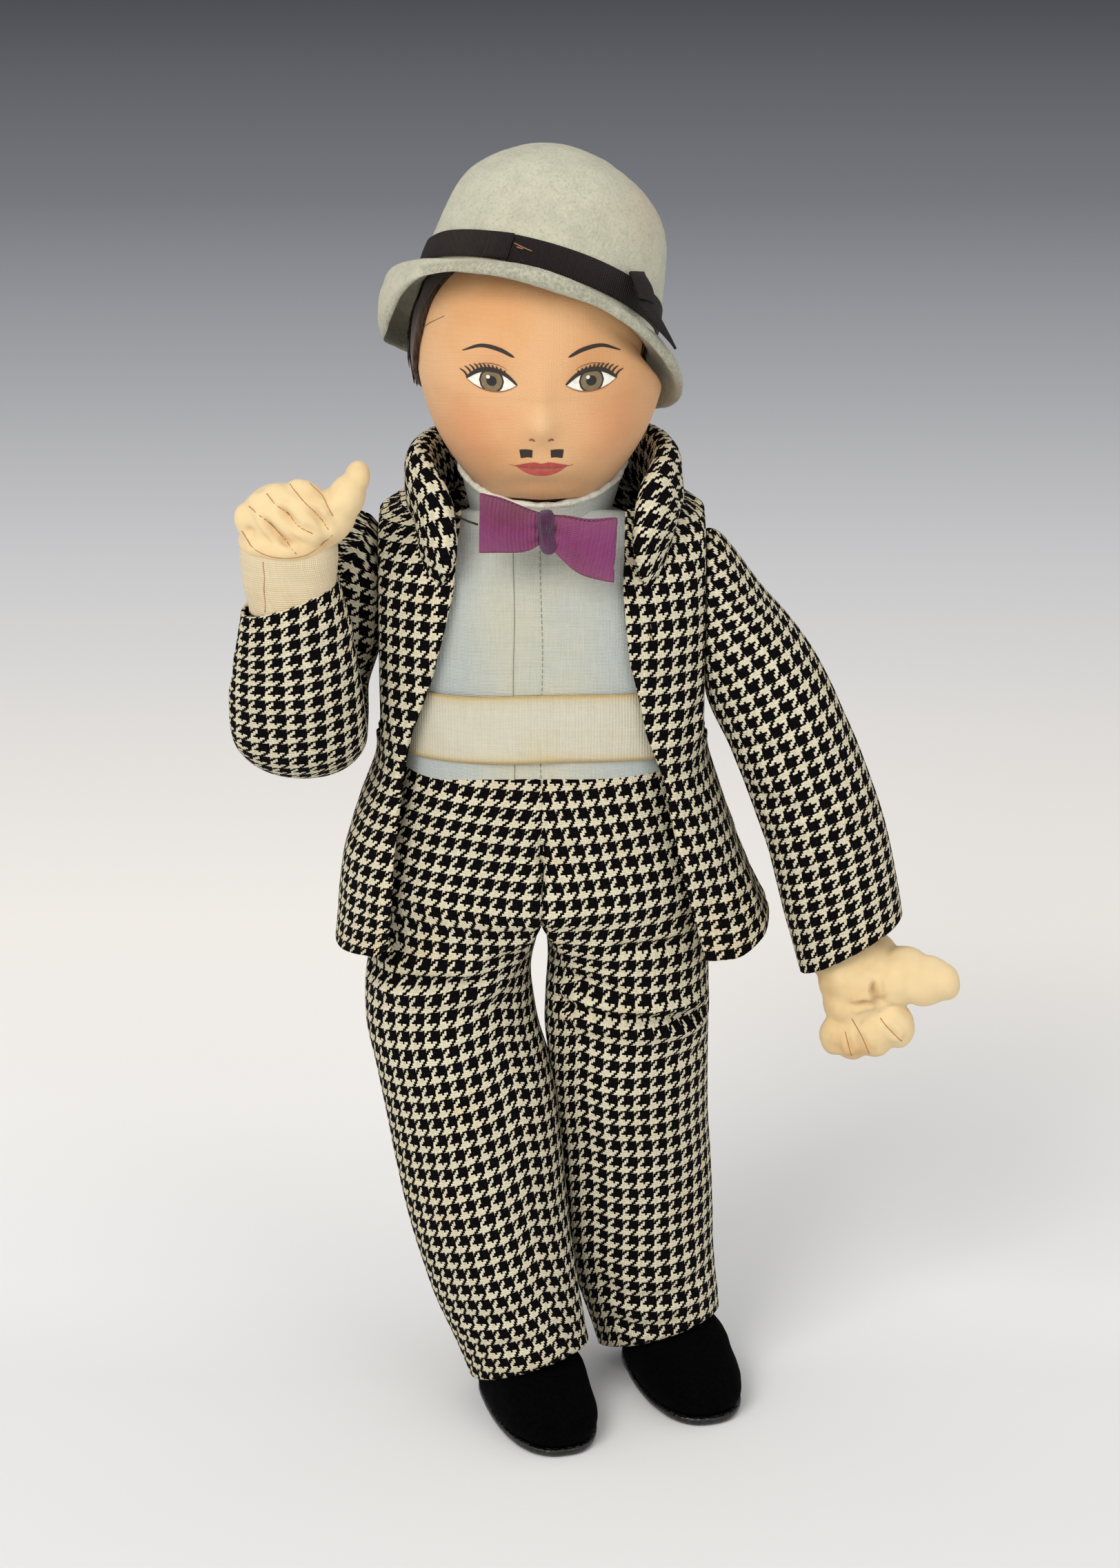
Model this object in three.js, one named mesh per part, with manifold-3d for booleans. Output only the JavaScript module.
// A stuffed cloth gentleman doll in a dogtooth check suit and a felt bowler hat, standing on both feet.
// Millimetres, +Z up. The doll faces -Y, and +X is its own left-hand side. It is built as it would be sewn:
// cloth covers over stuffing, on a riveted wire armature that lets the arms, elbows and legs be posed.
import * as THREE from "three";
import { mergeVertices } from "three/addons/utils/BufferGeometryUtils.js";
import Module from "manifold-3d";

const wasm = await Module();
wasm.setup();

// Thicknesses and clearances
const GAP = 0.3; // clearance between two pieces that touch
const CLOTH = 0.9; // suiting, shirting and calico
const FELT = 1.7; // hat felt
const RIBBON = 0.6; // grosgrain and tape
const MASK = 1.2; // pressed face mask
const HAIR = 1.3; // mohair over the back of the head
const SEAM_Y = 1; // the jacket's side seams lie in this plane
const FIT = CLOTH + GAP; // how far stuffing lies inside the cloth's outer face
const CLEAR = 2 * GAP; // a gap measured upright under a sloping piece

// Heights above the floor
const HIP_Z = 97; // hip rivets
const CROTCH_Z = 114;
const COAT_HEM_Z = 113;
const WAIST_Z = 158; // upper edge of the trousers
const TAPE_Z = 163; // lower edge of the waist tape
const TAPE_H = 16;
const SHOULDER_Z = 197; // shoulder rivets
const NECK_Z = 217; // top of the body's neck
const CHIN_Z = 218.3;
const TROUSER_HEM_Z = 13;

// Half-widths and half-depths of the body and the jacket
const HIP_W = 38;
const HIP_D = 21;
const WAIST_W = 31.5;
const WAIST_D = 19;
const CHEST_W = 33;
const CHEST_D = 18.5;
const NECK_R = 12;
const NECK_Y = 2; // the neck stands this far behind the middle of the body
const COLLAR_H = 8; // height of the shirt collar at the sides
const COLLAR_RISE = 0.3; // how much it rises for each millimetre back
const BOW_Y = -27.5; // front of the bow tie
const LOOP_T = 2.4; // thickness of its loops
const COAT_CHEST_W = 37.6;
const COAT_CHEST_D = 22.5;
const COAT_HEM_W = 47.5;
const COAT_HEM_D = 27;

// Head
const HEAD_W = 27.5; // half-width at the temples
const HEAD_D = 26; // half-depth there
const HEAD_H = 65; // chin to crown
const NOSE_W = 3.4;
const NOSE_H = 6;
const PIN_R = 2.5; // neck pin
const PIN_L = 42;
const TURN = 25; // degrees that the head turns each way
const NAPE_Z = NECK_Z + 16; // where the hair stops at the back

// Hat
const CROWN_W = 28.5; // outer half-width of the crown at the band
const CROWN_D = 31;
const CROWN_H = 37;
const BRIM = 8.2; // how far the brim stands out
const BRIM_DROP = 5; // how far its edge turns down
const BAND_H = 8;
const HAT_PITCH = 28; // degrees the hat is pushed back
const HAT_ROLL = 22; // degrees it is cocked to the doll's left
const BOW_LEAN = 34; // degrees the bow's tail leans out over the brim
const BOW_OUT = 2.8; // how far its middle stands off the band
const BOW_ROUND = 36; // degrees it sits forward of the doll's left
const HAT_AT = new THREE.Vector3(-0.4, 3, CHIN_Z + 41.2); // middle of the crown's lower edge

// Arms
const ARM_PLANE = 38.6; // the arms turn against the jacket in this plane
const SLEEVE_R = 13.6; // left sleeve at the elbow
const CUFF_R = 10.5;
const CUFF_L = 16;
const ELBOW_FLEX = 60; // degrees that each elbow gives
const HIP_FLEX = 75; // degrees that each leg lifts forward
const HIP_BACK = 10; // degrees that it goes back
const SLIT = 1; // half of the slit that the cloth is parted by at a hinge

// Armature
const WIRE_R = 1.2;
const EYE_R = 3.6;
const RIVET_R = 1.5;
const RIVET_HEAD = 1;
const EYE_STEP = WIRE_R + GAP / 2; // from the middle of a rivet to each of the two eyes on it
const STUB = 6; // a wire leaves an eye square to the rivet for this far
const WIRE_END = 16; // height at which the leg wires stop, inside the shoes
const FRAME_HIP_Z = CROTCH_Z + 10; // cross wires of the body
const FRAME_CHEST_Z = SHOULDER_Z - 9;
const PIN_Z = SHOULDER_Z + 5 + WIRE_R + GAP; // foot of the neck pin

// Shoes
const SOLE_T = 2;
const HEEL_BACK = 17; // from the ankle to the back of the heel
const TOE_FRONT = 31; // from the ankle to the toe
const SHOE_W = 10.4; // half-width
const ANKLE_R = 10.6;
const TOE_OUT = 29; // degrees that both feet point to the doll's left

const LIMB_SIDES = 10;
const HEAD_SIDES = 14;
const BODY_SIDES = 16;
const HAT_SIDES = 20;
const FAR = 400; // beyond the doll
const rad = THREE.MathUtils.degToRad;
const vec = (x, y, z) => new THREE.Vector3(x, y, z);
const off = (point, x, y, z) => point.clone().add(vec(x, y, z));
const lerp = THREE.MathUtils.lerp;

// A closed mesh as a solid, and a solid as a geometry.
function solid(geometry) {
  const g = geometry.index ? geometry.toNonIndexed() : geometry.clone();
  for (const name of Object.keys(g.attributes)) if (name !== "position") g.deleteAttribute(name);
  const merged = mergeVertices(g, 1e-4);
  const vertProperties = merged.attributes.position.array;
  const triVerts = new Uint32Array(merged.index.array);
  const made = new wasm.Manifold(new wasm.Mesh({ numProp: 3, vertProperties, triVerts }));
  if (made.volume() >= 0) return made;
  triVerts.reverse();
  return new wasm.Manifold(new wasm.Mesh({ numProp: 3, vertProperties, triVerts }));
}

function geometryOf(body) {
  const mesh = body.getMesh();
  const positions = new Float32Array(mesh.numVert * 3);
  for (let i = 0; i < mesh.numVert; i++) {
    positions.set(mesh.vertProperties.subarray(i * mesh.numProp, i * mesh.numProp + 3), i * 3);
  }
  return new THREE.BufferGeometry()
    .setAttribute("position", new THREE.BufferAttribute(positions, 3))
    .setIndex(new THREE.BufferAttribute(mesh.triVerts, 1));
}

const join = (...bodies) => bodies.reduce((a, b) => a.add(b));
const cut = (body, ...tools) => tools.reduce((a, b) => a.subtract(b), body);
const common = (...bodies) => bodies.reduce((a, b) => a.intersect(b));
const largest = (body) => body.decompose().reduce((a, b) => (a.volume() >= b.volume() ? a : b));

// A closed solid through rings that all have the same number of points.
function loft(rings) {
  const n = rings[0].length;
  const points = rings.flat();
  const index = [];
  for (let r = 0; r + 1 < rings.length; r++) {
    for (let i = 0; i < n; i++) {
      const j = (i + 1) % n;
      index.push(r * n + i, r * n + j, (r + 1) * n + j, r * n + i, (r + 1) * n + j, (r + 1) * n + i);
    }
  }
  for (const start of [0, (rings.length - 1) * n]) {
    const middle = rings[start / n].reduce((sum, p) => sum.add(p), vec(0, 0, 0)).divideScalar(n);
    for (let i = 0; i < n; i++) {
      const [a, b] = [start + i, start + ((i + 1) % n)];
      index.push(...(start === 0 ? [b, a, points.length] : [a, b, points.length]));
    }
    points.push(middle);
  }
  return solid(new THREE.BufferGeometry().setFromPoints(points).setIndex(index));
}

// A stuffed form: rings square to a smooth path. Each station is [point, half-width, half-depth].
// grow swells it, ends lengthens its first and last ends, and square makes the rings boxier above 2.
// Widths are measured along wide, as nearly as the path lets them.
function stuffed(stations, options = {}) {
  const { sides = LIMB_SIDES, steps = 1, grow = 0, ends = [0, 0], square = 2, wide = vec(1, 0, 0) } = options;
  const path = new THREE.CatmullRomCurve3(stations.map((s) => s[0]));
  const size = new THREE.CatmullRomCurve3(stations.map((s) => vec(s[1], s[2], 0)));
  const count = (stations.length - 1) * steps;
  const bulge = (v) => Math.sign(v) * Math.abs(v) ** (2 / square);
  const rings = [];
  for (let k = 0; k <= count; k++) {
    const t = k / count;
    const along = path.getTangent(t);
    const across = wide.clone().addScaledVector(along, -along.dot(wide)).normalize();
    const through = along.clone().cross(across);
    const { x: width, y: depth } = size.getPoint(t);
    const slide = k === 0 ? -ends[0] : k === count ? ends[1] : 0;
    const centre = path.getPoint(t).addScaledVector(along, slide);
    const ringPoint = (_, i) => {
      const angle = ((i + 0.5) / sides) * 2 * Math.PI;
      const point = centre.clone();
      point.addScaledVector(across, Math.max(0.5, width + grow) * bulge(Math.cos(angle)));
      return point.addScaledVector(through, Math.max(0.5, depth + grow) * bulge(Math.sin(angle)));
    };
    rings.push(Array.from({ length: sides }, ringPoint));
  }
  return loft(rings);
}

// Plain shapes: a block, round bars along X and Z, and an outline pushed through the doll along X or Y.
function block([x0, x1], [y0, y1], [z0, z1]) {
  const g = new THREE.BoxGeometry(x1 - x0, y1 - y0, z1 - z0);
  return solid(g.translate((x0 + x1) / 2, (y0 + y1) / 2, (z0 + z1) / 2));
}
const ALL = [-FAR, FAR];
const above = (z) => block(ALL, ALL, [z, FAR]);
const below = (z) => block(ALL, ALL, [-FAR, z]);
const between = (z0, z1) => block(ALL, ALL, [z0, z1]);

function barX(x0, x1, { y, z }, radius) {
  const g = new THREE.CylinderGeometry(radius, radius, Math.abs(x1 - x0), 8).rotateZ(Math.PI / 2);
  return solid(g.translate((x0 + x1) / 2, y, z));
}
function barZ(y, z0, z1, radius) {
  const g = new THREE.CylinderGeometry(radius, radius, z1 - z0, 12).rotateX(Math.PI / 2);
  return solid(g.translate(0, y, (z0 + z1) / 2));
}
function pushed(outline, from, to, axis) {
  const shape = new THREE.Shape(outline.map(([a, b]) => new THREE.Vector2(a, b)));
  const g = new THREE.ExtrudeGeometry(shape, { depth: to - from, bevelEnabled: false }).translate(0, 0, from);
  const [along, across] = [vec(1, 0, 0), vec(0, 1, 0)];
  const basis = axis === "X" ? [across, vec(0, 0, 1), along] : [along, vec(0, 0, 1), across];
  return solid(g.applyMatrix4(new THREE.Matrix4().makeBasis(...basis)));
}

// The room that a bending limb needs at its hinge, seen from the side: a wedge on the side that closes up,
// a narrower one behind it, and a slit between. turned swings the wedge from -Y towards +Z, in degrees.
function foldRoom(hinge, { open, back = 0, turned = 0, inset = 0 }) {
  const front = SLIT - inset / Math.cos(rad(open / 2));
  const rear = SLIT - inset / Math.cos(rad(back / 2));
  const reach = 60;
  const upper = [
    [-reach, front + reach * Math.tan(rad(open / 2))],
    [0, front],
    [reach, rear + reach * Math.tan(rad(back / 2))],
  ];
  const lower = upper.map(([a, b]) => [a, -b]).reverse();
  const [c, s] = [Math.cos(rad(turned)), Math.sin(rad(turned))];
  const outline = [...upper, ...lower].map(([a, b]) => [hinge.y + a * c + b * s, hinge.z - a * s + b * c]);
  return pushed(outline, -FAR, FAR, "X");
}

// Armature wire through the points, with a pierced eye at each of the eyes. Grown, it is that wire's bore.
function wire(points, eyes, grow = 0, wide = vec(1, 0, 0)) {
  const half = WIRE_R + grow;
  const radius = grow > 0 ? half * Math.SQRT2 : half;
  const stations = points.map((point) => [point, radius, radius]);
  const rod = stuffed(stations, { sides: grow > 0 ? 4 : 6, ends: [grow, grow], wide });
  const made = join(rod, ...eyes.map((eye) => barX(eye.x - half, eye.x + half, eye, EYE_R + grow)));
  const bore = (eye) => barX(eye.x - 2 * WIRE_R, eye.x + 2 * WIRE_R, eye, RIVET_R + GAP);
  return grow > 0 ? made : cut(made, ...eyes.map(bore));
}

// A rivet along X with a flat head outside each of the two eyes that it joins.
function rivet(eyeA, eyeB, grow = 0) {
  const low = Math.min(eyeA.x, eyeB.x) - WIRE_R - GAP;
  const high = Math.max(eyeA.x, eyeB.x) + WIRE_R + GAP;
  return join(
    barX(low - RIVET_HEAD, high + RIVET_HEAD, eyeA, RIVET_R + grow),
    barX(low - RIVET_HEAD - grow, low + grow, eyeA, 2 * RIVET_R + grow),
    barX(high - grow, high + RIVET_HEAD + grow, eyeA, 2 * RIVET_R + grow),
  );
}

const finishes = {
  check: { color: 0x9d978a, roughness: 0.95, metalness: 0 },
  shirting: { color: 0xb9bfb8, roughness: 0.9, metalness: 0 },
  calico: { color: 0xe6cfa2, roughness: 0.9, metalness: 0 },
  face: { color: 0xe3ab80, roughness: 0.75, metalness: 0 },
  hair: { color: 0x33251a, roughness: 0.6, metalness: 0 },
  felt: { color: 0xb9b6a2, roughness: 1, metalness: 0 },
  band: { color: 0x251c1b, roughness: 0.8, metalness: 0 },
  purple: { color: 0x75336e, roughness: 0.7, metalness: 0 },
  tape: { color: 0xddd3b4, roughness: 0.85, metalness: 0 },
  velvet: { color: 0x0b0a0b, roughness: 1, metalness: 0 },
  oilcloth: { color: 0x1a1613, roughness: 0.45, metalness: 0 },
  kapok: { color: 0xd8c9a0, roughness: 1, metalness: 0 },
  steel: { color: 0x8b8d90, roughness: 0.4, metalness: 0.9 },
};
const doll = new THREE.Group();
function piece(name, body, finish) {
  const mesh = new THREE.Mesh(geometryOf(body), new THREE.MeshStandardMaterial(finishes[finish]));
  mesh.name = name;
  doll.add(mesh);
}

// The body's form, from the seat to the neck, and the jacket's over it.
const bodyForm = (grow, ends = [grow, 0]) =>
  stuffed(
    [
      [vec(0, 0, CROTCH_Z), HIP_W - 7, HIP_D - 4],
      [vec(0, 0, CROTCH_Z + 9), HIP_W, HIP_D],
      [vec(0, 0, (CROTCH_Z + WAIST_Z) / 2 + 6), (HIP_W + WAIST_W) / 2 + 1, (HIP_D + WAIST_D) / 2 + 0.5],
      [vec(0, 0, WAIST_Z), WAIST_W, WAIST_D],
      [vec(0, 0, (WAIST_Z + SHOULDER_Z) / 2), CHEST_W - 1, CHEST_D + 1],
      [vec(0, 0, SHOULDER_Z), CHEST_W, CHEST_D],
      [vec(0, 0.5, SHOULDER_Z + 10), CHEST_W - 1.5, CHEST_D - 3],
      [vec(0, 1, SHOULDER_Z + 15), CHEST_W - 7, CHEST_D - 5.5],
      [vec(0, NECK_Y, NECK_Z - 1.5), NECK_R + 2, NECK_R + 0.5],
      [vec(0, NECK_Y, NECK_Z), NECK_R, NECK_R],
    ],
    { sides: BODY_SIDES, grow, ends, square: 2.7 },
  );
const coatForm = (grow, ends = [0, 0]) =>
  stuffed(
    [
      [vec(0, 1, COAT_HEM_Z), COAT_HEM_W, COAT_HEM_D],
      [vec(0, 1, COAT_HEM_Z + 20), COAT_HEM_W - 2, COAT_HEM_D - 0.5],
      [vec(0, 1, WAIST_Z - 12), COAT_CHEST_W + 4, COAT_CHEST_D + 2.5],
      [vec(0, 1, WAIST_Z + 1), COAT_CHEST_W - 0.2, COAT_CHEST_D + 1.2],
      [vec(0, 1, (WAIST_Z + SHOULDER_Z) / 2), COAT_CHEST_W - 0.4, COAT_CHEST_D + 0.6],
      [vec(0, 1, SHOULDER_Z), COAT_CHEST_W, COAT_CHEST_D],
      [vec(0, 1.2, SHOULDER_Z + 11), COAT_CHEST_W - 0.4, COAT_CHEST_D - 3.6],
      [vec(0, 1.6, SHOULDER_Z + 17), COAT_CHEST_W - 4, COAT_CHEST_D - 6.5],
      [vec(0, NECK_Y, SHOULDER_Z + 22), COAT_CHEST_W - 13, COAT_CHEST_D - 6],
    ],
    { sides: BODY_SIDES, grow, ends, square: 2.7 },
  );

// The legs' forms: one foot ahead of the other, both pointing towards the doll's left.
const legZ = (share) => lerp(HIP_Z, TROUSER_HEM_Z, share);
const legStations = {
  right: [
    [vec(-19.5, 0, CROTCH_Z + 6), 17, 17],
    [vec(-20.3, -1, HIP_Z + 3), 19, 18.4],
    [vec(-17.6, -4.5, legZ(0.26)), 20.2, 18.4],
    [vec(-15.2, -7.5, legZ(0.5)), 19.4, 18],
    [vec(-12.2, -10.5, legZ(0.74)), 17.8, 17],
    [vec(-8.6, -13, TROUSER_HEM_Z), 14.4, 14.6],
  ],
  left: [
    [vec(20.5, 0, CROTCH_Z + 6), 17, 17],
    [vec(21.6, 0, HIP_Z + 3), 18.2, 18.4],
    [vec(22.6, 1.5, legZ(0.26)), 17.9, 18],
    [vec(23.4, 3, legZ(0.5)), 17.5, 17.6],
    [vec(24.2, 4.5, legZ(0.74)), 16.5, 16.6],
    [vec(26, 6, TROUSER_HEM_Z), 15, 15],
  ],
};
const legForm = (side, grow, past = 0) =>
  stuffed(legStations[side], { grow, ends: [0, past] });
const hips = { right: vec(-20.3, -1, HIP_Z), left: vec(21.6, -1, HIP_Z) };
const hipRoom = (inset) => foldRoom(hips.right, { open: HIP_FLEX + 4, back: HIP_BACK + 2, inset });
const FEET = { right: vec(-8.6, -14, 0), left: vec(26.4, 2.5, 0) };

// One level ring of a shoe about its ankle: rounder at the heel, longer and fuller at the toe.
function shoeRing(side, z, halfWidth, front, back) {
  const sides = 14;
  return Array.from({ length: sides }, (_, i) => {
    const angle = ((i + 0.5) / sides) * 2 * Math.PI;
    const [c, s] = [Math.cos(angle), Math.sin(angle)];
    const y = s < 0 ? front * s : back * s;
    const x = halfWidth * Math.sign(c) * Math.abs(c) ** 0.8;
    return vec(x, y, z).applyAxisAngle(vec(0, 0, 1), rad(TOE_OUT)).add(FEET[side]);
  });
}
const shoeForm = (side, grow, reach = 0) =>
  loft([
    shoeRing(side, SOLE_T + GAP - grow, SHOE_W + grow - 0.6, TOE_FRONT + grow - 1, HEEL_BACK + grow - 1),
    shoeRing(side, SOLE_T + 3, SHOE_W + grow + 0.4, TOE_FRONT + grow, HEEL_BACK + grow),
    shoeRing(side, SOLE_T + 7, SHOE_W + grow, TOE_FRONT + grow - 1.5, HEEL_BACK + grow - 0.4),
    shoeRing(side, SOLE_T + 11, ANKLE_R + grow - 0.4, TOE_FRONT + grow - 10, ANKLE_R + grow + 0.4),
    shoeRing(side, SOLE_T + 15, ANKLE_R + grow, TOE_FRONT + grow - 17, ANKLE_R + grow),
    shoeRing(side, TROUSER_HEM_Z + 10 + reach, ANKLE_R + grow, ANKLE_R + grow, ANKLE_R + grow),
  ]);
const soleForm = (side) =>
  loft([
    shoeRing(side, 0, SHOE_W - 0.2, TOE_FRONT, HEEL_BACK),
    shoeRing(side, SOLE_T, SHOE_W + 0.4, TOE_FRONT + 0.6, HEEL_BACK + 0.6),
  ]);

// The arms' forms. The right arm is sewn in a sharp bend, hand up by the shoulder. The left one hangs.
const shoulders = { right: vec(-ARM_PLANE, 0, SHOULDER_Z), left: vec(ARM_PLANE, 0, SHOULDER_Z) };
const elbows = { right: off(shoulders.right, -13.9, -8.2, -28.5), left: off(shoulders.left, 21.4, -3, -46) };
const wrists = { right: off(shoulders.right, -16.8, -21.8, 14), left: off(shoulders.left, 32.4, -6.8, -88) };
const armStations = {
  right: [
    [off(shoulders.right, -4.4, 1, 17), 6, 4],
    [off(shoulders.right, -5.9, 1.5, 9), 10.5, 9],
    [off(shoulders.right, -8.4, 2.8, -7), 12, 10.2],
    [off(shoulders.right, -12.9, 2.2, -20.5), 13, 9.8],
    [off(elbows.right, -0.5, 7.2, 0.3), 14.2, 10.2],
    [off(elbows.right, -1.5, -0.2, -2.5), 14.8, 10.4],
    [off(elbows.right, -1.9, -7.6, 0.7), 15.2, 10.2],
    [off(elbows.right, -2.1, -10.6, 8.5), 15, 10.1],
    [off(wrists.right, 0.6, 1.2, -22), 13.4, 10],
    [off(wrists.right, 0, 0.2, -9), 11, 9.4],
  ],
  left: [
    [off(shoulders.left, 0.9, 0, 13), 3, 5],
    [off(shoulders.left, 1.4, 0, 6.5), 8, 10],
    [off(shoulders.left, 4.9, -0.5, -5), 11.6, 12.8],
    [off(shoulders.left, 11.4, -1.5, -19), SLEEVE_R, SLEEVE_R],
    [off(shoulders.left, 17.4, -2.5, -33), SLEEVE_R, SLEEVE_R],
    [off(elbows.left, 2.5, -0.5, -5), SLEEVE_R, SLEEVE_R - 0.4],
    [off(elbows.left, 7, -2, -21), SLEEVE_R - 0.6, SLEEVE_R - 1.2],
    [off(wrists.left, -0.5, 0.3, 4), SLEEVE_R - 2, SLEEVE_R - 2.8],
  ],
};
const SIDE = { right: -1, left: 1 };
const beside = (side, inset) =>
  side === "left"
    ? block([ARM_PLANE + inset, FAR], ALL, ALL)
    : block([-FAR, -ARM_PLANE - inset], ALL, ALL);
const armForm = (side, grow, past = 0) =>
  common(
    stuffed(armStations[side], { grow, ends: [grow, past] }),
    beside(side, Math.max(0, -grow)),
  );
// The right elbow opens on its lower side, the left one folds in front.
const elbowRoom = {
  right: (inset) => foldRoom(elbows.right, { open: ELBOW_FLEX + 4, turned: -90, inset }),
  left: (inset) => foldRoom(elbows.left, { open: ELBOW_FLEX + 4, inset }),
};
const upperArmSide = {
  right: block(ALL, [elbows.right.y, FAR], ALL),
  left: above(elbows.left.z),
};
const forearmSide = {
  right: block(ALL, [-FAR, elbows.right.y], ALL),
  left: below(elbows.left.z),
};

// The armature: where each wire's eyes lie. Two eyes on one rivet lie side by side.
const sideways = (point, step) => off(point, step, 0, 0);
const frameEyes = {
  rightShoulder: vec(-CHEST_W + 4, 0, SHOULDER_Z),
  leftShoulder: vec(CHEST_W - 4, 0, SHOULDER_Z),
  rightHip: sideways(hips.right, EYE_STEP),
  leftHip: sideways(hips.left, -EYE_STEP),
};
const armEyes = {
  right: { shoulder: sideways(shoulders.right, -5), upper: sideways(elbows.right, EYE_STEP) },
  left: { shoulder: sideways(shoulders.left, 5), upper: sideways(elbows.left, -EYE_STEP) },
};
for (const side of ["right", "left"]) armEyes[side].fore = sideways(elbows[side], SIDE[side] * EYE_STEP);
// A cross wire between two eyes, bent to run at the height z.
const crossWire = (eyeA, eyeB, z, grow) =>
  wire([eyeA, vec(eyeA.x, 0, z), vec(eyeB.x, 0, z), eyeB], [eyeA, eyeB], grow, vec(0, 1, 0));
const spineWire = (grow = 0) =>
  join(
    wire([vec(0, NECK_Y, SHOULDER_Z + 5), vec(0, 0, FRAME_CHEST_Z), vec(0, 0, FRAME_HIP_Z)], [], grow),
    crossWire(frameEyes.rightShoulder, frameEyes.leftShoulder, FRAME_CHEST_Z, grow),
    crossWire(frameEyes.rightHip, frameEyes.leftHip, FRAME_HIP_Z, grow),
  );
const neckPin = (grow = 0) => barZ(NECK_Y, PIN_Z - grow, PIN_Z + PIN_L + grow, PIN_R + grow);

// Head, over a neck that stands on the body's.
const headForm = (grow, drop = 0) =>
  cut(
    stuffed(
      [
        [vec(0, -6.5, CHIN_Z), 7, 7],
        [vec(0, -5, CHIN_Z + 4), 14, 15],
        [vec(0, -2.5, CHIN_Z + 13), 21.5, 21.5],
        [vec(0, 0, CHIN_Z + 26), HEAD_W - 0.8, HEAD_D - 0.8],
        [vec(0, 0.5, CHIN_Z + 39), HEAD_W, HEAD_D],
        [vec(0, 1.5, CHIN_Z + 50), HEAD_W - 4, HEAD_D - 2],
        [vec(0, 2, CHIN_Z + 59), HEAD_W - 13, HEAD_D - 11],
        [vec(0, 2, CHIN_Z + HEAD_H), 5, 5],
      ],
      { sides: HEAD_SIDES, grow, ends: [grow, grow] },
    ).add(barZ(NECK_Y, NECK_Z + GAP - drop, CHIN_Z + 12, NECK_R - 1.5 + grow)),
    below(NECK_Z + GAP - drop),
  );
// Hair covers the back of the head and comes forward over the temples.
const hairSide = pushed(
  [[-9, CHIN_Z + HEAD_H], [-4, NAPE_Z + 6], [5, NAPE_Z], [FAR, NAPE_Z], [FAR, CHIN_Z + HEAD_H]],
  -FAR,
  FAR,
  "X",
);
const hairForm = common(headForm(GAP + HAIR), hairSide);
const turned = (body, degrees) =>
  body.translate([0, -NECK_Y, 0]).rotate([0, 0, degrees]).translate([0, NECK_Y, 0]);
const headSweep = join(...[-TURN, 0, TURN].map((degrees) => turned(headForm(GAP), degrees)));
const faceSide = block(ALL, [-FAR, 1], ALL);
const napeSide = block(ALL, [1 + GAP, FAR], ALL);

// Hat: a lathe profile about the hat's own axis, tilted into place.
function hatPart(profile) {
  const points = profile.map(([r, z]) => new THREE.Vector2(r, z));
  const g = new THREE.LatheGeometry(points, HAT_SIDES).rotateX(Math.PI / 2);
  g.scale(CROWN_W / CROWN_D, 1, 1);
  g.rotateX(rad(-HAT_PITCH)).rotateY(rad(HAT_ROLL));
  return solid(g.translate(...HAT_AT.toArray()));
}
const crownOuter = [
  [0, CROWN_H],
  [CROWN_D * 0.42, CROWN_H - 1.8],
  [CROWN_D * 0.74, CROWN_H - 7.5],
  [CROWN_D * 0.93, CROWN_H - 16],
  [CROWN_D, 4],
  [CROWN_D, 0],
];
const hatOuter = hatPart([
  ...crownOuter,
  [CROWN_D + BRIM * 0.6, -BRIM_DROP * 0.35],
  [CROWN_D + BRIM, -BRIM_DROP],
  [CROWN_D + BRIM - FELT * 0.6, -BRIM_DROP - FELT * 0.8],
  [CROWN_D + BRIM * 0.5, -BRIM_DROP * 0.35 - FELT],
  [CROWN_D - FELT, -FELT],
  [0, -FELT],
]);
const crownSpace = (clear) =>
  hatPart([
    [0, CROWN_H - FELT - clear],
    ...crownOuter.slice(1, -1).map(([r, z]) => [r - FELT * 0.9 - clear, z - FELT * 0.6 - clear]),
    [CROWN_D - FELT - clear, -FELT - 5],
    [0, -FELT - 5],
  ]);
// The head is pressed into the crown: above the brim it keeps inside it.
const underBrim = hatPart([
  [0, -FELT - CLEAR],
  [CROWN_D - FELT, -FELT - CLEAR],
  [CROWN_D + BRIM * 0.5, -BRIM_DROP * 0.35 - FELT - CLEAR],
  [CROWN_D + BRIM + CLEAR, -BRIM_DROP - FELT * 0.8 - CLEAR],
  [FAR, -BRIM_DROP - FELT * 0.8 - CLEAR],
  [FAR, -FAR],
  [0, -FAR],
]);
const inHat = join(underBrim, crownSpace(GAP));
const bandRing = hatPart([
  [CROWN_D + GAP, 1],
  [CROWN_D + GAP + RIBBON, 1],
  [CROWN_D + GAP + RIBBON - 0.4, 1 + BAND_H],
  [CROWN_D + GAP - 0.4, 1 + BAND_H],
  [CROWN_D + GAP, 1],
]);

// Hardware first, because every soft piece is bored for it.
const rivets = {
  right_shoulder_rivet: [frameEyes.rightShoulder, armEyes.right.shoulder],
  left_shoulder_rivet: [frameEyes.leftShoulder, armEyes.left.shoulder],
  right_elbow_rivet: [armEyes.right.upper, armEyes.right.fore],
  left_elbow_rivet: [armEyes.left.upper, armEyes.left.fore],
  right_hip_rivet: [frameEyes.rightHip, sideways(hips.right, -EYE_STEP)],
  left_hip_rivet: [frameEyes.leftHip, sideways(hips.left, EYE_STEP)],
};
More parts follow.
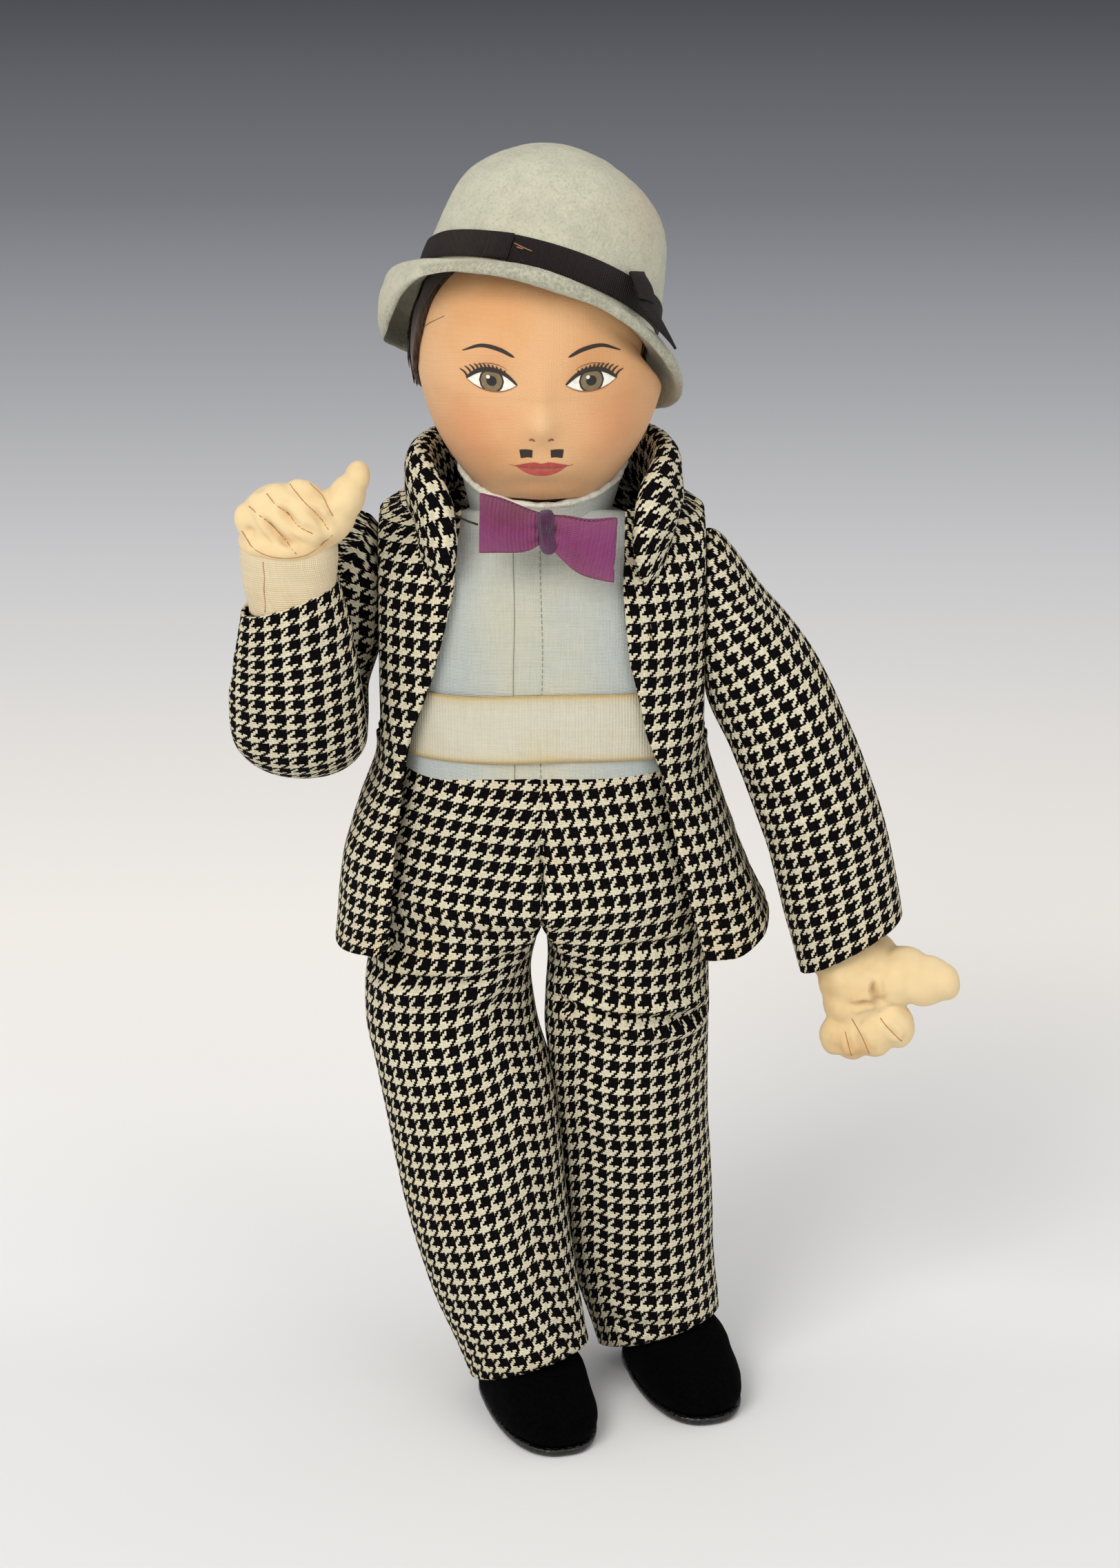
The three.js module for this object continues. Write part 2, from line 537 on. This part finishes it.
// A limb's wire from its eye at the joint above to its own eye below, or to a plain end.
function limbPath(top, bottom, eyeBelow, via = []) {
  const level = (via[0] ?? bottom).clone().sub(top).setX(0).setLength(STUB);
  const path = [top, top.clone().add(level), ...via];
  if (eyeBelow) path.push(bottom.clone().sub(level));
  return { path: [...path, bottom], eyes: eyeBelow ? [top, bottom] : [top] };
}
const limbWires = {
  right_upper_arm_wire: limbPath(armEyes.right.shoulder, armEyes.right.upper, true),
  left_upper_arm_wire: limbPath(armEyes.left.shoulder, armEyes.left.upper, true),
  right_forearm_wire: limbPath(armEyes.right.fore, off(wrists.right, 0, 0, 8), false, [
    off(elbows.right, -2, -11, 6),
  ]),
  left_forearm_wire: limbPath(armEyes.left.fore, off(wrists.left, 0, 0, -8), false),
  right_leg_wire: limbPath(sideways(hips.right, -EYE_STEP), FEET.right.clone().setZ(WIRE_END), false),
  left_leg_wire: limbPath(sideways(hips.left, EYE_STEP), FEET.left.clone().setZ(WIRE_END), false),
};
const limbWire = (name, grow = 0) => wire(limbWires[name].path, limbWires[name].eyes, grow);
piece("spine_wire_frame", spineWire(), "steel");
piece("neck_pin", neckPin(), "steel");
for (const name of Object.keys(limbWires)) piece(name, limbWire(name), "steel");
for (const [name, eyes] of Object.entries(rivets)) piece(name, rivet(...eyes), "steel");
const hardware = join(
  spineWire(GAP),
  neckPin(GAP),
  ...Object.keys(limbWires).map((name) => limbWire(name, GAP)),
  ...Object.values(rivets).map((eyes) => rivet(...eyes, GAP)),
);

// Body: stuffing, trousers seat, shirt, waist tape.
const hipLine = join(below(HIP_Z), hipRoom(0));
const seatForm = (grow) =>
  cut(join(bodyForm(grow), legForm("right", grow), legForm("left", grow)), hipLine);
piece("torso_stuffing", cut(seatForm(-FIT), hardware), "kapok");
const seatHollow = join(bodyForm(-CLOTH, [-CLOTH, 2]), legForm("right", -CLOTH), legForm("left", -CLOTH));
piece("trousers_seat", cut(seatForm(0), seatHollow, above(WAIST_Z)), "check");
piece("shirt", cut(bodyForm(0), bodyForm(-CLOTH, [0, 2]), below(WAIST_Z + GAP), hardware), "shirting");
const tape = (inner, outer) =>
  common(cut(bodyForm(GAP + outer), bodyForm(GAP - inner)), between(TAPE_Z - inner, TAPE_Z + TAPE_H + inner));
piece("waist_tape", tape(0, RIBBON), "tape");

// Neck: a stand collar that flares and rises to the back, cut low enough for the chin to turn over it.
const collarRing = (grow) =>
  stuffed(
    [
      [vec(0, NECK_Y, NECK_Z - 6), NECK_R + 3, NECK_R + 2.5],
      [vec(0, NECK_Y, NECK_Z + 3), NECK_R + 5, NECK_R + 4.5],
      [vec(0, NECK_Y, NECK_Z + 15), NECK_R + 8.5, NECK_R + 8],
    ],
    { sides: BODY_SIDES, grow, ends: grow < 0 ? [2, 2] : [0, 0] },
  );
const overCollar = pushed(
  [
    [-FAR, NECK_Z + COLLAR_H - FAR * COLLAR_RISE],
    [FAR, NECK_Z + COLLAR_H + FAR * COLLAR_RISE],
    [FAR, FAR],
    [-FAR, FAR],
  ],
  -FAR,
  FAR,
  "X",
);
const standCollar = cut(collarRing(0), collarRing(-CLOTH), bodyForm(GAP), headSweep, overCollar);
piece("shirt_collar", standCollar, "shirting");

// Bow tie: two flat loops of ribbon and the wrap between them, in front of the collar.
const bowLoops = {
  bow_tie_right_loop: [[-14, 9], [-14.5, -3.2], [-9, -1.7], [-2.6, -1.2], [-2.4, 3.6], [-8, 6]],
  bow_tie_left_loop: [[2.8, 3.6], [8, 3], [17, 1], [15.6, -10.5], [9, -8.7], [5, -5.5], [3, -1.6]],
};
for (const [name, outline] of Object.entries(bowLoops)) {
  const onNeck = outline.map(([x, z]) => [x, NECK_Z + z]);
  piece(name, cut(pushed(onNeck, BOW_Y, BOW_Y + LOOP_T, "Y"), headSweep), "purple");
}
const knot = block([-2.1, 2.5], [BOW_Y - 0.8, 0], [NECK_Z - 2, NECK_Z + 4]);
piece("bow_tie_knot", cut(knot, collarRing(GAP), bodyForm(GAP), headSweep), "purple");

// Jacket: back, two fronts and a rolled collar. The fronts hang open over the shirt.
const HEM_END = COAT_HEM_Z - 13; // below the jacket
const opening = pushed(
  [
    [-17, NECK_Z + 15],
    [-17.5, NECK_Z + 6],
    [-20, SHOULDER_Z + 5],
    [-25, SHOULDER_Z - 15],
    [-30, WAIST_Z + 11],
    [-32.5, WAIST_Z],
    [-34, WAIST_Z - 19],
    [-35.5, COAT_HEM_Z + 4],
    [-33, HEM_END],
    [42, HEM_END],
    [38.5, COAT_HEM_Z - 2],
    [36, COAT_HEM_Z + 7],
    [31, WAIST_Z - 15],
    [28, WAIST_Z],
    [24, WAIST_Z + 11],
    [20, SHOULDER_Z - 11],
    [18.5, SHOULDER_Z + 5],
    [19, NECK_Z + 6],
    [19, NECK_Z + 15],
  ],
  -FAR,
  0,
  "Y",
);
const neckHole = barZ(NECK_Y, SHOULDER_Z + 10, FAR, NECK_R + 7);
const coatShell = cut(coatForm(0), coatForm(-CLOTH, [2, 2]), neckHole, opening, hardware);
const seamGap = GAP / 2;
piece("jacket_back", common(coatShell, block(ALL, [SEAM_Y + seamGap, FAR], ALL)), "check");
piece("jacket_right_front", common(coatShell, block([-FAR, 0], [-FAR, SEAM_Y - seamGap], ALL)), "check");
piece("jacket_left_front", common(coatShell, block([0, FAR], [-FAR, SEAM_Y - seamGap], ALL)), "check");
const rollOutline = [[20, 17], [21, 28], [22.5, 33], [25.5, 33], [29.5, 27], [32, 15], [20, 17]];
const roll = new THREE.LatheGeometry(
  rollOutline.map(([r, z]) => new THREE.Vector2(r, SHOULDER_Z + z)),
  BODY_SIDES,
).rotateX(Math.PI / 2);
const rollForm = solid(roll.scale(1, 0.84, 1).translate(0, NECK_Y, 0));
const underRoll = join(coatForm(GAP), bodyForm(GAP), collarRing(GAP));
piece("jacket_collar", cut(rollForm, underRoll, opening, headSweep), "check");

// Head.
const nose = solid(
  new THREE.SphereGeometry(1, 12, 8).scale(NOSE_W, 3.6, NOSE_H).translate(0, -HEAD_D + 0.4, CHIN_Z + 26),
);
const headHollow = headForm(-MASK, 2);
piece("face_mask", common(cut(join(headForm(0), nose), headHollow), faceSide, inHat), "face");
piece("head_back", common(cut(headForm(0), headHollow), napeSide, inHat), "calico");
piece("head_stuffing", common(cut(headForm(-MASK - GAP), neckPin(GAP)), inHat), "kapok");
piece("hair", common(cut(hairForm, headForm(GAP)), inHat), "hair");
piece("hat_felt", cut(hatOuter, crownSpace(0)), "felt");
piece("hat_band", cut(bandRing, hatOuter), "band");
const hatBowShape = new THREE.Shape(
  [[-5, 4], [3.5, 5], [5, 0], [7, -10], [1.5, -5], [-4, -4]].map(([a, b]) => new THREE.Vector2(a, b)),
);
const hatBow = new THREE.ExtrudeGeometry(hatBowShape, { depth: 2, bevelEnabled: false });
hatBow.rotateX(rad(-BOW_LEAN));
hatBow.applyMatrix4(new THREE.Matrix4().makeBasis(vec(0, 1, 0), vec(0, 0, 1), vec(1, 0, 0)));
hatBow.translate(CROWN_D + RIBBON + GAP + BOW_OUT, 0, BAND_H - 2).rotateZ(rad(-BOW_ROUND));
hatBow.scale(CROWN_W / CROWN_D, 1, 1).rotateX(rad(-HAT_PITCH)).rotateY(rad(HAT_ROLL));
hatBow.translate(...HAT_AT.toArray());
piece("hat_bow", solid(hatBow), "band");

// Arms.
for (const side of ["right", "left"]) {
  const outer = armForm(side, 0);
  const inner = armForm(side, -CLOTH, 2);
  const fill = cut(armForm(side, -FIT), hardware);
  const room = elbowRoom[side](0);
  const [upper, fore] = [upperArmSide[side], forearmSide[side]];
  piece(`${side}_upper_sleeve`, largest(cut(common(outer, upper), inner, room, hardware)), "check");
  piece(`${side}_upper_arm_stuffing`, cut(common(fill, upper), room), "kapok");
  piece(`${side}_fore_sleeve`, cut(common(outer, fore), inner, room), "check");
  piece(`${side}_forearm_stuffing`, cut(common(fill, fore), room), "kapok");
  piece(`${side}_elbow_fold`, cut(common(outer, elbowRoom[side](GAP)), hardware), "check");
}

// Hands: a mitt with a thumb. The right one stands on a pale cuff, the left one hangs out of its sleeve.
const handStations = {
  right: [
    [off(wrists.right, 0, 0, 3 + GAP), 8, 8],
    [off(wrists.right, 1, -0.4, 8), 12.6, 9],
    [off(wrists.right, 2, -1.4, 14), 12.6, 8],
    [off(wrists.right, 3, -2.2, 20), 6.5, 4.5],
  ],
  left: [
    [off(wrists.left, 0.2, -0.6, 3), 8.2, 7.6],
    [off(wrists.left, 1, -2, -6), 12, 8.6],
    [off(wrists.left, 0.4, -3.6, -14), 11.6, 7.6],
    [off(wrists.left, -2.6, -5, -20), 6.4, 4.2],
  ],
};
const thumbStations = {
  right: [
    [off(wrists.right, 8, -4, 6), 3, 3],
    [off(wrists.right, 12, -5, 11), 3.6, 3.6],
    [off(wrists.right, 14.2, -5, 17), 2, 2],
  ],
  left: [
    [off(wrists.left, 5, -5, -2), 4, 4.6],
    [off(wrists.left, 14, -7, -2), 5, 4.4],
    [off(wrists.left, 22.4, -8, 1), 3.4, 3.2],
  ],
};
const handForm = (side, grow) =>
  join(stuffed(handStations[side], { steps: 2, grow }), stuffed(thumbStations[side], { sides: 8, grow }));
const cuffForm = (grow, ends = [0, 0]) =>
  stuffed(
    [
      [off(wrists.right, 0, 0.3, -11), CUFF_R - 1.6, CUFF_R - 2],
      [off(wrists.right, 0, 0.1, -4), CUFF_R, CUFF_R - 1.2],
      [off(wrists.right, 0, 0, CUFF_L - 13), CUFF_R, CUFF_R - 1.2],
    ],
    { grow, ends },
  );
piece("right_cuff", cut(cuffForm(0), cuffForm(-CLOTH, [2, 2]), armForm("right", GAP)), "calico");
for (const side of ["right", "left"]) {
  const spare = side === "right" ? [cuffForm(GAP)] : [armForm("left", GAP)];
  piece(`${side}_hand`, cut(handForm(side, 0), hardware, ...spare), "calico");
}

// Legs.
for (const side of ["right", "left"]) {
  const lower = cut(below(HIP_Z), hipRoom(0));
  const outer = legForm(side, 0);
  const hollow = join(legForm(side, -CLOTH, 2), shoeForm(side, GAP));
  piece(`${side}_trouser_leg`, cut(common(outer, lower), hollow), "check");
  const thigh = cut(common(legForm(side, -FIT), lower), below(TROUSER_HEM_Z + 10));
  piece(`${side}_leg_stuffing`, cut(join(thigh, shoeForm(side, -FIT, 2)), hardware), "kapok");
  piece(`${side}_hip_fold`, cut(common(outer, hipRoom(GAP)), hardware), "check");
  piece(`${side}_shoe_upper`, cut(shoeForm(side, 0), shoeForm(side, -CLOTH, 3)), "velvet");
  piece(`${side}_shoe_sole`, soleForm(side), "oilcloth");
}

// The origin is on the floor, under the middle of the doll.
const extent = new THREE.Box3().setFromObject(doll);
const centre = extent.getCenter(vec(0, 0, 0));
doll.position.set(-centre.x, -centre.y, -extent.min.z);

export default doll;
